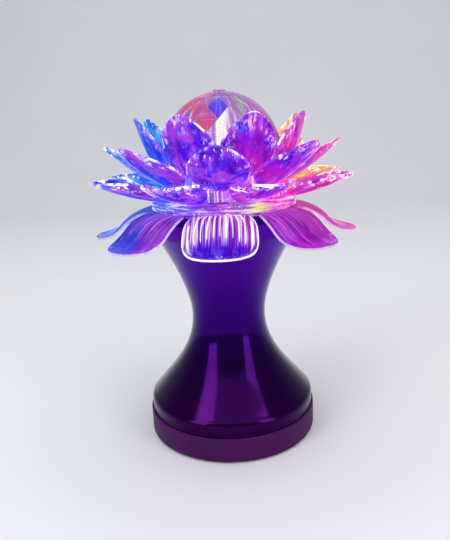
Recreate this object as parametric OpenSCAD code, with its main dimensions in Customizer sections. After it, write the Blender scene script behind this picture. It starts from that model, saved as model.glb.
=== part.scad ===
// Lotus lamp: a flared pedestal on a round foot carries four whorls of clear petals
// around a faceted dome, and a small gear motor turns the dome.
// Millimetres, Z up, the rubber pads stand on z = 0, the front is toward -Y.

/* [Foot] */
// Diameter of the foot disc
foot_d = 121; // [114:1:140]
// Height of the foot disc
foot_h = 17; // [16.5:0.5:24]
// Wall of the foot disc
foot_wall = 2.5; // [2:0.1:3]
// Rounding of the foot disc's outer edges
foot_edge = 1; // [0.5:0.1:1.5]
// How far the pads lift the foot disc off the table
pad_drop = 1.2; // [1:0.1:2]
// Diameter of a rubber pad
pad_d = 12; // [8:0.5:16]
// Thickness of the bottom cover
cover_t = 2.4; // [2:0.1:3]
// Height of the bottom cover's lower face above the foot disc's lower rim
cover_rise = 1; // [0.8:0.1:1.5]

/* [Pedestal] */
// Diameter of the narrowest part of the pedestal
waist_d = 52.6; // [50:0.2:60]
// Height of the narrowest part above the foot disc
waist_rise = 68.5; // [60:0.5:76]
// Height of the upright band at the pedestal's lower end
band_h = 7; // [5:0.5:9]
// How far the pedestal stands back from the rim of the foot disc
band_inset = 1.3; // [1:0.1:3]
// Rounding above the upright band
shoulder_r = 5; // [3:0.5:7]
// Diameter of the pedestal's mouth
mouth_d = 100; // [98:0.5:106]
// Height of the mouth's lower edge above the waist
mouth_rise = 60.5; // [54:0.5:66]
// Height of the mouth's upright rim
rim_h = 12; // [11:0.5:16]
// Wall of the pedestal, measured level
pedestal_wall = 2.6; // [2:0.1:3.5]

/* [Flower] */
// Petals in each whorl
petals = 8; // [8:1:8]
// Thickness of a petal
petal_t = 1.8; // [1.4:0.1:2.2]
// Tip radius of the drooping petals
sepal_reach = 90.7; // [84:0.5:98]
// How far a drooping petal's tip hangs below its root
sepal_fall = 17.6; // [14:0.2:20]
// Width of a drooping petal
sepal_w = 44.6; // [38:0.2:46]
// Tip radius of the outer petals
outer_reach = 89.2; // [80:0.5:96]
// Height of the outer petals' tips above their roots
outer_climb = 15.2; // [11:0.2:20]
// Width of an outer petal
outer_w = 38; // [30:0.5:42]
// Tip radius of the middle petals
middle_reach = 80; // [74:0.5:84]
// Height of the middle petals' tips above their roots
middle_climb = 27.8; // [24:0.2:30]
// Width of a middle petal
middle_w = 38; // [30:0.5:40]
// Tip radius of the inner petals
inner_reach = 57.5; // [56:0.5:60]
// Height of the inner petals' tips above their roots
inner_climb = 37.6; // [34:0.2:40]
// Width of an inner petal
inner_w = 36; // [28:0.5:37]
// Lengthwise bend radius of an outer petal
outer_bend = 145; // [120:1:180]
// Crosswise bend radius of an outer petal
outer_cup = 26; // [24:0.5:44]
// Lengthwise bend radius of a middle petal
middle_bend = 150; // [120:1:180]
// Crosswise bend radius of a middle petal
middle_cup = 34; // [28:0.5:44]
// Lengthwise bend radius of an inner petal
inner_bend = 120; // [100:1:150]
// Crosswise bend radius of an inner petal
inner_cup = 40; // [34:0.5:48]
// Height of the clear collar ring
collar_h = 5.2; // [4:0.2:7]
// Height of the ring above the outer petals
column_h = 7.2; // [6:0.2:9]
// Height of the ring above the middle petals
neck_h = 6.2; // [5:0.2:8]
// Thickness of the top clamp ring
clamp_h = 2.2; // [2:0.1:3]
// Width of a petal's root tab
tab_w = 9; // [8:0.5:10]

/* [Dome] */
// Diameter of the dome
dome_d = 80; // [76:0.5:80]
// Least wall of the dome
dome_wall = 2.5; // [2:0.1:3.5]
// Height of the dome's straight skirt
skirt_h = 6.5; // [5:0.5:9]
// Facets around the inside of the dome
dome_facets = 12; // [10:1:14]
// Diameter of the cap on the dome's pole
cap_d = 8.6; // [8:0.2:10]

/* [Drive] */
// Gear module
gear_module = 0.6; // [0.5:0.05:0.6]
// Teeth of the drive gear
gear_teeth = 48; // [44:1:52]
// Teeth of the motor pinion
pinion_teeth = 16; // [15:1:17]
// Face width of the gears
gear_w = 4; // [3:0.5:5]
// Play between the gear flanks
backlash = 0.16; // [0.12:0.02:0.2]
// Diameter of the drive shaft
shaft_d = 4; // [3.5:0.1:4.5]
// Thickness of the deck plate
deck_t = 3; // [2.5:0.1:4]

/* [Lights and wires] */
// Diodes on the lamp board
diodes = 12; // [8:1:12]
// Diameter of a diode
diode_d = 5; // [3:0.5:5]
// Thickness of the circuit boards
board_t = 1.6; // [1.2:0.1:2]
// Diameter of one wire
wire_d = 1.8; // [1.4:0.1:2]

/* [Switch and socket] */
// Length of the switch bezel
bezel_w = 15; // [14.5:0.1:16]
// Height of the switch bezel
bezel_h = 10.4; // [10:0.1:11]
// How far the rocker tilts
rocker_tilt = 20; // [14:1:20]
// Bore of the low-voltage socket
socket_d = 6.3; // [6:0.1:6.5]
// Pin of the low-voltage socket
socket_pin_d = 2; // [1.8:0.1:2.6]

/* [Hidden] */
$fn = 64;
joint_gap = 0.2;
run_gap = 0.05;
face_gap = 0.3;
screw_d = 2.5;
screw_l = 6;
screw_head_d = 4.6;
screw_head_h = 1.6;
screw_room = 0.25;
pilot_room = 0.1;
long_screw_d = 3;
long_head_d = 5.4;
long_head_h = 1.2;
boss_r = 3.5;
screw_inset = 14.5;
boss_room = 2.5;
steps = 14;
sepal_steps = 6;

foot_r = foot_d / 2;
foot_z = pad_drop;
foot_top = foot_z + foot_h;
foot_under = foot_top - foot_wall;
foot_in = foot_r - foot_wall;
cover_z = foot_z + cover_rise;
cover_top = cover_z + cover_t;
cover_r = foot_in - joint_gap;
cover_screw_at = foot_in - boss_r - boss_room;
pad_at = foot_in - 14;
pedestal_screw_at = foot_in - screw_inset;

band_r = foot_r - band_inset;
waist_r = waist_d / 2;
waist_z = foot_top + waist_rise;
mouth_r = mouth_d / 2;
mouth_z = waist_z + mouth_rise;
rim_top = mouth_z + rim_h;
rim_in = mouth_r - pedestal_wall;

deck_z = rim_top;
deck_top = deck_z + deck_t;
deck_r = mouth_r - 0.5;
sepal_z = deck_top;
collar_z = sepal_z + petal_t;
outer_z = collar_z + collar_h;
column_z = outer_z + petal_t;
middle_z = column_z + column_h;
neck_z = middle_z + petal_t;
inner_z = neck_z + neck_h;
clamp_z = inner_z + petal_t;
clamp_top = clamp_z + clamp_h;
dome_r = dome_d / 2;
collar_r = mouth_r - 0.5;
column_r = dome_r + 3;
neck_r = dome_r + 1.5;
clamp_r = dome_r;
ring_band = 7.5;
stack_inset = 3.5;
tab_room = 0.8;
inner_room = 2.6;
ring_in = dome_r - ring_band;
stack_at = dome_r - stack_inset;
tab_in = ring_in + tab_room;

plate_gap = 1;
plate_z = clamp_top + plate_gap;
plate_t = 1.5;
spigot_h = 2;
skirt_z = plate_z + plate_t;
dome_z = skirt_z + skirt_h;
dome_top = dome_z + dome_r;
hub_r = shaft_d / 2 + 2.5;
hub_bottom = deck_top + 1 + face_gap;
hub_top = plate_z + 8;
post_r = 4;
stem_r = 2.4;
cap_t = 1.4;
cap_z = dome_z + sqrt(dome_r * dome_r - pow(stem_r + pilot_room, 2));

mesh_at = gear_module * (gear_teeth + pinion_teeth) / 2;
bush_flange = 1.5;
bush_r = shaft_d / 2 + 2;
gear_hub_top = deck_z - bush_flange - face_gap;
gear_z = gear_hub_top - 1.2 - gear_w;
gear_hub_r = shaft_d / 2 + 2.5;
shaft_top = hub_top - 2;
plate_low = gear_z - 2;
bracket_t = 2;
bracket_z = plate_low - bracket_t;
bracket_boss_at = 13;
gearbox_w = 12;
gearbox_d = 10;
gearbox_h = 9;
gearbox_z = bracket_z - gearbox_h;
motor_h = 15;
motor_z = gearbox_z - motor_h;
motor_shaft_d = 3;

board_room = 2.5;
lamp_board_r = ring_in - board_room;
lamp_board_rise = 10;
lamp_board_z = deck_top + lamp_board_rise;
lamp_board_top = lamp_board_z + board_t;
lamp_screw_at = 13;
diode_at = lamp_board_r - diode_d;
loom_at = 19;

board_l = 44;
board_w = 30;
board_y = 8;
board_rise = 4;
board_z = cover_top + board_rise;
board_top = board_z + board_t;
board_screw_x = 17;
plug_h = 3;
plug_w = 8;

rear_z = foot_z + foot_h / 2;
socket_turn = -17;
switch_turn = 17;
switch_flat = foot_r - 0.9;
bezel_t = 1.5;
body_w = bezel_w - 2;
body_h = bezel_h - 2;
body_l = 12.5;
pocket_w = bezel_w - 3;
pocket_h = body_h - 1.4;
pocket_l = 5;
pivot_y = switch_flat - 1;
trunnion_r = 0.9;
rocker_half = pocket_w / 2 - 0.8;
rocker_h = pocket_h - 0.4;
socket_body = 9;
socket_nose_r = 4;
socket_front = foot_r - 0.35;
socket_back = foot_in - 11.5;
socket_depth = 9.5;

function bezier(a, b, c, d, t) =
    pow(1 - t, 3) * a + 3 * t * pow(1 - t, 2) * b + 3 * t * t * (1 - t) * c + pow(t, 3) * d;

// Outline of the pedestal: upright band, rounded shoulder, concave flanks, mouth rim.
shoulder_turn = 50;
shoulder_z = foot_top + band_h;
shoulder_end_r = band_r - shoulder_r * (1 - cos(shoulder_turn));
shoulder_end_z = shoulder_z + shoulder_r * sin(shoulder_turn);
flank_low = 22;
waist_low = 25;
waist_high = 18;
flank_high = 18.5;
shoulder_pts = [for (i = [0:6]) let (a = shoulder_turn * i / 6)
    [band_r - shoulder_r * (1 - cos(a)), shoulder_z + shoulder_r * sin(a)]];
low_pts = [for (i = [1:steps]) bezier(
    [shoulder_end_r, shoulder_end_z],
    [shoulder_end_r - flank_low * 0.64, shoulder_end_z + flank_low * 0.77],
    [waist_r, waist_z - waist_low],
    [waist_r, waist_z], i / steps)];
high_pts = [for (i = [1:steps]) bezier(
    [waist_r, waist_z],
    [waist_r, waist_z + waist_high],
    [mouth_r - flank_high * 0.54, mouth_z - flank_high * 0.84],
    [mouth_r, mouth_z], i / steps)];
pedestal_line = concat([[band_r, foot_top]], shoulder_pts, low_pts, high_pts, [[mouth_r, rim_top]]);
pedestal_back = [for (i = [len(pedestal_line) - 1:-1:0]) pedestal_line[i] - [pedestal_wall, 0]];

// Half width of a rounded petal at t from root (0) to tip (1).
function petal_half(t, w, root, shift, blunt) =
    max(root * (1 - t), w / 2 * pow(max(0, sin(180 * pow(t, shift))), blunt));
// Half width of a drooping petal, broad and blunt with a small point.
function sepal_half(t, w, root, widest) =
    t < widest ? root + (w / 2 - root) * (1 - pow((widest - t) / widest, 2))
    : t >= 1 ? 0
    : w / 2 * sqrt(max(0, 1 - pow((t - widest) / (1 - widest), 2.2)));

// Flank of an involute tooth: roll angle in degrees to a point on the flank.
function involute(base, roll) =
    let (len_roll = roll * PI / 180)
    [base * (cos(roll) + len_roll * sin(roll)), base * (sin(roll) - len_roll * cos(roll))];
function turn(p, a) = [p[0] * cos(a) - p[1] * sin(a), p[0] * sin(a) + p[1] * cos(a)];
function roll_at(base, r) = r <= base ? 0 : sqrt(pow(r / base, 2) - 1) * 180 / PI;

module rounded_bar(r0, r1, z0, z1, edge) {
    // Half section of a disc from r0 to r1 whose two outer edges are rounded.
    translate([r0, z0])
        square([r1 - r0 - edge, z1 - z0]);
    translate([r1 - 2 * edge, z0 + edge])
        square([2 * edge, z1 - z0 - 2 * edge]);
    translate([r1 - edge, z0 + edge])
        circle(edge);
    translate([r1 - edge, z1 - edge])
        circle(edge);
}

module at_four(first, at) {
    for (k = [0:3])
        rotate([0, 0, first + 90 * k])
            translate([at, 0, 0])
                children();
}

module tube(r1, r0, h) {
    difference() {
        cylinder(r = r1, h = h);
        translate([0, 0, -1])
            cylinder(r = r0, h = h + 2);
    }
}

module screw_up(head_z) {
    // Small screw with its head below, pointing up.
    translate([0, 0, head_z - screw_head_h])
        cylinder(d = screw_head_d, h = screw_head_h);
    translate([0, 0, head_z - screw_head_h / 2])
        cylinder(d = screw_d, h = screw_l + screw_head_h / 2);
}

module screw_down(head_z) {
    translate([0, 0, 2 * head_z])
        mirror([0, 0, 1])
            screw_up(head_z);
}

module rear(turned) {
    rotate([0, 0, turned])
        children();
}

module foot_disc() {
    color("indigo")
        difference() {
            union() {
                rotate_extrude()
                    difference() {
                        rounded_bar(0, foot_r, foot_z, foot_top, foot_edge);
                        translate([-1, foot_z - 1])
                            square([foot_in + 1, foot_h - foot_wall + 1]);
                        translate([-1, foot_under - 1])
                            square([waist_r - 1, foot_wall + 2]);
                    }
                at_four(45, cover_screw_at)
                    translate([0, 0, cover_top])
                        cylinder(r = boss_r, h = foot_under - cover_top + 0.5);
            }
            at_four(45, cover_screw_at)
                translate([0, 0, cover_top - 1])
                    cylinder(d = screw_d + 2 * pilot_room, h = screw_l + 1);
            at_four(0, pedestal_screw_at)
                translate([0, 0, foot_under - 1])
                    cylinder(d = screw_d + 2 * screw_room, h = foot_wall + 2);
            rear(socket_turn)
                translate([0, foot_r + 5, rear_z])
                    rotate([90, 0, 0])
                        cylinder(r = socket_nose_r + pilot_room, h = foot_wall + 10);
            rear(switch_turn) {
                translate([-bezel_w / 2 - face_gap, switch_flat, rear_z - bezel_h / 2 - face_gap])
                    cube([bezel_w + 2 * face_gap, 10, bezel_h + 2 * face_gap]);
                translate([-body_w / 2 - pilot_room, foot_in - 5, rear_z - body_h / 2 - pilot_room])
                    cube([body_w + 2 * pilot_room, 20, body_h + 2 * pilot_room]);
            }
        }
}

module bottom_cover() {
    color("dimgray")
        difference() {
            union() {
                translate([0, 0, cover_z])
                    cylinder(r = cover_r, h = cover_t);
                for (s = [-1, 1])
                    translate([s * board_screw_x, board_y, cover_z + 0.5])
                        cylinder(r = boss_r, h = cover_t + board_rise - 0.5);
            }
            at_four(45, cover_screw_at)
                translate([0, 0, cover_z - 1])
                    cylinder(d = screw_d + 2 * screw_room, h = cover_t + 2);
            for (s = [-1, 1])
                translate([s * board_screw_x, board_y, board_top - screw_l - 0.5])
                    cylinder(d = screw_d + 2 * pilot_room, h = screw_l + 1);
        }
}

module rubber_pads() {
    color("black")
        at_four(0, pad_at)
            cylinder(d = pad_d, h = cover_z);
}

module small_screws() {
    color("silver") {
        at_four(45, cover_screw_at)
            screw_up(cover_z);
        at_four(0, pedestal_screw_at)
            screw_up(foot_under);
        for (s = [-1, 1])
            translate([s * board_screw_x, board_y, 0])
                screw_down(board_top);
        for (k = [0:2])
            rotate([0, 0, 30 + 120 * k])
                translate([lamp_screw_at, 0, 0])
                    screw_down(lamp_board_top);
        for (s = [-1, 1])
            translate([mesh_at, s * bracket_boss_at, 0])
                screw_up(bracket_z);
    }
}

module pedestal_shell() {
    color("darkviolet")
        difference() {
            union() {
                rotate_extrude()
                    polygon(concat(pedestal_line, pedestal_back));
                at_four(0, pedestal_screw_at) {
                    translate([0, 0, foot_top])
                        cylinder(r = boss_r, h = screw_l);
                    translate([0, -1, foot_top])
                        cube([band_r - pedestal_wall / 2 - pedestal_screw_at, 2, screw_l]);
                }
                at_four(11.25, stack_at) {
                    translate([0, 0, mouth_z])
                        cylinder(r = boss_r, h = rim_h);
                    translate([0, -1.5, mouth_z])
                        cube([mouth_r - pedestal_wall / 2 - stack_at, 3, rim_h - 4]);
                }
            }
            at_four(0, pedestal_screw_at)
                translate([0, 0, foot_top - 1])
                    cylinder(d = screw_d + 2 * pilot_room, h = screw_l - foot_wall + 2);
            at_four(11.25, stack_at)
                translate([0, 0, rim_top - 9])
                    cylinder(d = long_screw_d + 2 * pilot_room, h = 10);
        }
}

module deck_plate() {
    color("whitesmoke")
        difference() {
            union() {
                translate([0, 0, deck_z])
                    cylinder(r = deck_r, h = deck_t);
                translate([0, 0, deck_z - 2.5])
                    tube(rim_in - joint_gap, rim_in - joint_gap - 2.5, 3);
                for (k = [0:2])
                    rotate([0, 0, 30 + 120 * k])
                        translate([lamp_screw_at, 0, deck_z + 0.5])
                            cylinder(r = boss_r, h = lamp_board_z - deck_z - 0.5);
                for (s = [-1, 1])
                    translate([mesh_at, s * bracket_boss_at, bracket_z + bracket_t])
                        cylinder(r = boss_r, h = deck_z - bracket_z - bracket_t + 0.5);
            }
            translate([0, 0, deck_z - 1])
                cylinder(r = bush_r, h = deck_t + 2);
            at_four(11.25, stack_at)
                translate([0, 0, deck_z - 1])
                    cylinder(d = long_screw_d + 2 * screw_room, h = deck_t + 2);
            for (k = [0:2])
                rotate([0, 0, 30 + 120 * k])
                    translate([lamp_screw_at, 0, lamp_board_top - screw_l - 0.5])
                        cylinder(d = screw_d + 2 * pilot_room, h = screw_l);
            for (s = [-1, 1])
                translate([mesh_at, s * bracket_boss_at, bracket_z + bracket_t - 1])
                    cylinder(d = screw_d + 2 * pilot_room, h = screw_l);
            translate([-loom_at, 0, deck_z - 1])
                cylinder(r = 2 * wire_d + 0.4, h = deck_t + 2);
        }
}

module shaft_bush() {
    color("goldenrod")
        difference() {
            union() {
                translate([0, 0, deck_z - bush_flange])
                    cylinder(r = bush_r + 2, h = bush_flange);
                translate([0, 0, deck_z - bush_flange / 2])
                    cylinder(r = bush_r, h = deck_t + bush_flange / 2 + 1);
            }
            translate([0, 0, deck_z - bush_flange - 1])
                cylinder(d = shaft_d + 2 * run_gap, h = deck_t + bush_flange + 4);
        }
}

module motor_bracket() {
    color("gray")
        difference() {
            union() {
                translate([mesh_at - gearbox_d / 2, -bracket_boss_at - boss_r, bracket_z])
                    cube([gearbox_d, 2 * (bracket_boss_at + boss_r), bracket_t]);
                for (s = [-1, 1])
                    translate([mesh_at - gearbox_d / 2, s * (gearbox_w / 2 + 0.75) - 0.75, gearbox_z])
                        cube([gearbox_d, 1.5, gearbox_h + 1]);
            }
            translate([mesh_at, 0, bracket_z - 1])
                cylinder(r = motor_shaft_d / 2 + 1, h = bracket_t + 2);
            for (s = [-1, 1])
                translate([mesh_at, s * bracket_boss_at, bracket_z - 1])
                    cylinder(d = screw_d + 2 * screw_room, h = bracket_t + 2);
        }
}

module gearbox_case() {
    color("goldenrod")
        difference() {
            translate([mesh_at - gearbox_d / 2, -gearbox_w / 2, gearbox_z])
                cube([gearbox_d, gearbox_w, gearbox_h]);
            translate([mesh_at, 0, gearbox_z + 2])
                cylinder(d = motor_shaft_d + 2 * run_gap, h = gearbox_h);
        }
}

module motor_can() {
    color("silver")
        translate([mesh_at, 0, motor_z]) {
            intersection() {
                cylinder(d = gearbox_w, h = motor_h);
                translate([-gearbox_d / 2, -gearbox_w / 2, 0])
                    cube([gearbox_d, gearbox_w, motor_h]);
            }
            translate([0, 0, -1])
                cylinder(r = 1.2, h = 1.5);
        }
}

module tooth_wheel(teeth, width, turned) {
    pitch = gear_module * teeth / 2;
    base = pitch * cos(20);
    tip = pitch + 0.7 * gear_module;
    root = pitch - gear_module;
    half = 90 / teeth - backlash / 2 / pitch * 180 / PI / 2;
    lead = roll_at(base, pitch) - atan(roll_at(base, pitch) * PI / 180);
    flank = [for (i = [0:4])
        let (r = max(root, base) + (tip - max(root, base)) * i / 4)
        turn(involute(base, roll_at(base, r)), -half - lead)];
    foot = turn([root, 0], -half - lead);
    pts = [for (k = [0:teeth - 1])
        let (a = 360 * k / teeth + turned)
        for (p = concat([foot], flank, [for (i = [4:-1:0]) [flank[i][0], -flank[i][1]]], [[foot[0], -foot[1]]]))
            turn(p, a)];
    linear_extrude(width)
        polygon(pts);
}

module drive_gear() {
    color("ivory")
        translate([0, 0, gear_z])
            difference() {
                union() {
                    tooth_wheel(gear_teeth, gear_w, 0);
                    translate([0, 0, gear_w / 2])
                        cylinder(r = gear_hub_r, h = gear_hub_top - gear_z - gear_w / 2);
                }
                translate([0, 0, -1])
                    cylinder(d = shaft_d, h = gear_hub_top - gear_z + 2);
            }
}

module motor_pinion() {
    color("peru")
        translate([mesh_at, 0, 0]) {
            translate([0, 0, gear_z])
                tooth_wheel(pinion_teeth, gear_w, 180 + 180 / pinion_teeth);
            translate([0, 0, gearbox_z + 2 + face_gap])
                cylinder(d = motor_shaft_d, h = gear_z + gear_w / 2 - gearbox_z - 2 - face_gap);
        }
}

module drive_shaft() {
    color("silver")
        translate([0, 0, gear_z - 1])
            cylinder(d = shaft_d, h = shaft_top - gear_z + 1);
}

module lamp_board() {
    color("white")
        difference() {
            union() {
                translate([0, 0, lamp_board_z])
                    cylinder(r = lamp_board_r, h = board_t);
                translate([-loom_at - plug_w / 2, -plug_w / 2, lamp_board_z - plug_h])
                    cube([plug_w, plug_w, plug_h + board_t / 2]);
            }
            translate([0, 0, lamp_board_z - 1])
                cylinder(r = hub_r + 1.5, h = board_t + 2);
            for (k = [0:2])
                rotate([0, 0, 30 + 120 * k])
                    translate([lamp_screw_at, 0, lamp_board_z - 1])
                        cylinder(d = screw_d + 2 * screw_room, h = board_t + 2);
        }
}

module diode_ring() {
    color("aqua")
        for (k = [0:diodes - 1])
            rotate([0, 0, 360 * (k + 0.5) / diodes])
                translate([diode_at, 0, lamp_board_top]) {
                    cylinder(d = diode_d, h = diode_d);
                    translate([0, 0, diode_d])
                        sphere(d = diode_d);
                }
}

module ring(outer, z, h) {
    difference() {
        translate([0, 0, z])
            tube(outer, ring_in, h);
        at_four(11.25, stack_at)
            translate([0, 0, z - 1])
                cylinder(d = long_screw_d + 2 * screw_room, h = h + 2);
    }
}

module collar_ring() {
    color("lightcyan")
        ring(collar_r, collar_z, collar_h);
}

module column_ring() {
    color("lightcyan")
        ring(column_r, column_z, column_h);
}

module neck_ring() {
    color("lightcyan")
        ring(neck_r, neck_z, neck_h);
}

module clamp_ring() {
    color("lightcyan")
        ring(clamp_r, clamp_z, clamp_h);
}

module stack_screws() {
    color("silver")
        at_four(11.25, stack_at) {
            translate([0, 0, clamp_top - long_head_h])
                cylinder(d = long_screw_d, h = long_head_h);
            translate([0, 0, clamp_top])
                cylinder(d = long_head_d, h = long_head_h / 2);
            translate([0, 0, rim_top - 8])
                cylinder(d = long_screw_d, h = clamp_top - rim_top + 8);
        }
}

module whorl(first, k) {
    // Turns the front petal (pointing to -Y) to its place in the whorl.
    rotate([0, 0, first + 360 * (k - 1) / petals - 90])
        children();
}

// A drooping petal: a flat root, then two arcs that fall and level out again.
sepal_root = mouth_r + 0.2;
sepal_run = (sepal_reach - sepal_root) / 2;
sepal_turn = 2 * atan(sepal_fall / 2 / sepal_run);
sepal_bend = sepal_run / sin(sepal_turn);
sepal_mid = sepal_z + petal_t / 2;
sepal_turns = concat(
    [for (i = [0:sepal_steps]) sepal_turn * i / sepal_steps],
    [for (i = [sepal_steps - 1:-1:0]) sepal_turn * i / sepal_steps]);
sepal_line = [for (i = [0:2 * sepal_steps]) let (a = sepal_turns[i])
    i <= sepal_steps ? [sepal_root + sepal_bend * sin(a), sepal_mid - sepal_bend * (1 - cos(a))]
    : [sepal_reach - sepal_bend * sin(a), sepal_mid - sepal_fall + sepal_bend * (1 - cos(a))]];
module sepal_skirt() {
    over = [for (i = [0:2 * sepal_steps])
        sepal_line[i] + petal_t / 2 * [sin(sepal_turns[i]), cos(sepal_turns[i])]];
    under = [for (i = [2 * sepal_steps:-1:0])
        sepal_line[i] - petal_t / 2 * [sin(sepal_turns[i]), cos(sepal_turns[i])]];
    // The skirt runs on past the tip, so the outline alone ends the petal.
    past = [[sepal_reach + 2, sepal_mid - sepal_fall + petal_t / 2],
        [sepal_reach + 2, sepal_mid - sepal_fall - petal_t / 2]];
    polygon(concat([[tab_in, sepal_z + petal_t]], over, past, under, [[tab_in, sepal_z]]));
}

module sepal(k) {
    root = 17.5;
    widest = 0.45;
    side = [for (i = [0:20]) let (t = i / 20)
        [sepal_root + (sepal_reach - sepal_root) * t, sepal_half(t, sepal_w, root, widest)]];
    half = concat([[tab_in, tab_w / 2], [sepal_root - 8, tab_w / 2]], side);
    color("violet")
        whorl(0, k)
            intersection() {
                rotate_extrude()
                    sepal_skirt();
                translate([0, 0, sepal_z - sepal_fall - petal_t])
                    linear_extrude(sepal_fall + 4 * petal_t)
                        polygon(concat(half, [for (i = [len(half) - 2:-1:0]) [half[i][0], -half[i][1]]]));
            }
}

// An upper petal: a shallow saucer patch on a straight root tab.
module petal(root_r, z, reach, climb, w, r_long, r_cross, shift, blunt) {
    run = reach - root_r;
    rise = climb - petal_t / 2;
    chord = sqrt(run * run + rise * rise);
    slope = atan2(rise, run);
    lift = sqrt(r_long * r_long - chord * chord / 4);
    sweep = 2 * asin(chord / 2 / r_long) + 8;
    root = tab_w / 2 - joint_gap;
    half = [for (i = [0:22]) let (t = i / 22)
        [chord * t, petal_half(t, w, root, shift, blunt)]];
    translate([tab_in, -tab_w / 2, z])
        cube([root_r + tab_room - tab_in, tab_w, petal_t]);
    translate([root_r, 0, z + petal_t / 2])
        rotate([0, -slope, 0])
            intersection() {
                translate([chord / 2, 0, lift])
                    rotate([-90, 0, 0])
                        rotate([0, 0, 90 - sweep / 2])
                            rotate_extrude(angle = sweep)
                                translate([r_long - r_cross, 0])
                                    intersection() {
                                        difference() {
                                            circle(r_cross + petal_t / 2);
                                            circle(r_cross - petal_t / 2);
                                        }
                                        translate([0, -w / 2 - petal_t])
                                            square([2 * r_cross, w + 2 * petal_t]);
                                    }
                translate([0, 0, -w])
                    linear_extrude(2 * w)
                        polygon(concat(half, [for (i = [21:-1:0]) [half[i][0], -half[i][1]]]));
            }
}

module outer_petal(k) {
    color("deepskyblue")
        whorl(180 / petals, k)
            petal(column_r + tab_room, outer_z, outer_reach, outer_climb, outer_w, outer_bend, outer_cup, 1.05, 0.48);
}

module middle_petal(k) {
    color("mediumorchid")
        whorl(0, k)
            petal(neck_r + 2 * tab_room, middle_z, middle_reach, middle_climb, middle_w, middle_bend, middle_cup, 0.62, 0.52);
}

module inner_petal(k) {
    color("hotpink")
        whorl(180 / petals, k)
            petal(clamp_r + inner_room, inner_z, inner_reach, inner_climb, inner_w, inner_bend, inner_cup, 0.8, 0.6);
}

// Inside of the dome: rings of points at these polar angles, every second ring turned half a facet.
facet_polar = [9, 25, 41, 56, 73, 90];
facet_r = dome_r - dome_wall;
module facet_hollow() {
    n = dome_facets;
    rings = len(facet_polar);
    pts = concat(
        [for (j = [0:rings - 1]) for (i = [0:n - 1])
            let (a = 360 * (i + (j % 2) / 2) / n, p = facet_polar[j])
            [facet_r * sin(p) * cos(a), facet_r * sin(p) * sin(a), dome_z + facet_r * cos(p)]],
        [for (i = [0:n - 1])
            let (a = 360 * (i + ((rings - 1) % 2) / 2) / n)
            [facet_r * cos(a), facet_r * sin(a), skirt_z - 1]]);
    sides = [for (j = [0:rings - 2]) for (i = [0:n - 1])
        let (p = j * n, q = p + n, m = (i + 1) % n, o = j % 2)
        for (f = o == 0 ? [[p + i, p + m, q + i], [p + m, q + m, q + i]]
            : [[p + i, p + m, q + m], [p + i, q + m, q + i]]) f];
    walls = [for (i = [0:n - 1])
        let (p = (rings - 1) * n, q = p + n, m = (i + 1) % n)
        for (f = [[p + i, p + m, q + i], [p + m, q + m, q + i]]) f];
    top = [for (i = [1:n - 2]) [0, i + 1, i]];
    low = [for (i = [1:n - 2]) [rings * n, rings * n + i, rings * n + i + 1]];
    rotate([0, 0, 180 / n])
        polyhedron(pts, concat(sides, walls, top, low));
}

module crystal_dome() {
    color("azure")
        difference() {
            union() {
                translate([0, 0, dome_z])
                    sphere(dome_r, $fn = 240);
                translate([0, 0, skirt_z])
                    cylinder(r = dome_r, h = skirt_h, $fn = 240);
            }
            translate([0, 0, skirt_z - 2 * dome_r])
                cylinder(r = 2 * dome_r, h = 2 * dome_r);
            facet_hollow();
            translate([0, 0, dome_top - 8])
                cylinder(r = stem_r + pilot_room, h = 10);
        }
}

module dome_plate() {
    spigot_r = facet_r * cos(180 / dome_facets) - joint_gap;
    color("ghostwhite")
        difference() {
            union() {
                translate([0, 0, plate_z])
                    cylinder(r = dome_r - 0.4, h = plate_t);
                translate([0, 0, plate_z + plate_t / 2])
                    cylinder(r = spigot_r, h = plate_t / 2 + spigot_h);
                translate([0, 0, hub_bottom])
                    cylinder(r = hub_r, h = hub_top - hub_bottom);
                translate([0, 0, hub_top - 1])
                    cylinder(r = post_r, h = dome_top - dome_wall - 2.5 - hub_top);
            }
            translate([0, 0, hub_bottom - 1])
                cylinder(d = shaft_d, h = shaft_top - hub_bottom + 1);
            translate([0, 0, dome_top - 12])
                cylinder(r = stem_r + pilot_room, h = 12);
        }
}

module dome_cap() {
    color("gainsboro") {
        translate([0, 0, cap_z])
            cylinder(d = cap_d, h = cap_t);
        translate([0, 0, dome_top - 11])
            cylinder(r = stem_r, h = 11.5);
    }
}

module driver_board() {
    color("seagreen") {
        difference() {
            translate([-board_l / 2, board_y - board_w / 2, board_z])
                cube([board_l, board_w, board_t]);
            for (s = [-1, 1])
                translate([s * board_screw_x, board_y, board_z - 1])
                    cylinder(d = screw_d + 2 * screw_room, h = board_t + 2);
        }
        translate([-4, board_y - 6, board_top])
            cube([8, 8, 1.6]);
        translate([8, board_y + 9, board_top])
            cylinder(r = 2.5, h = plug_h);
        translate([-loom_at - 2, -4, board_top])
            cube([8, 8, plug_h - 1]);
        translate([mesh_at - 4, -4, board_top])
            cube([6.5, 8, plug_h - 1]);
        translate([-12, board_y + board_w / 2 - 5, board_top])
            cube([24, 5, plug_h]);
    }
}

module wire_loom() {
    color("crimson") {
        for (s = [-1, 0, 1])
            translate([-loom_at, s * (wire_d + 0.2), board_top + plug_h - 1])
                cylinder(d = wire_d, h = lamp_board_z - plug_h - board_top - plug_h + 1);
        for (s = [-1, 1])
            translate([mesh_at - 1, s * (wire_d + 0.4), board_top + plug_h - 1])
                cylinder(d = wire_d, h = motor_z - board_top - plug_h + 1);
    }
}

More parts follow.
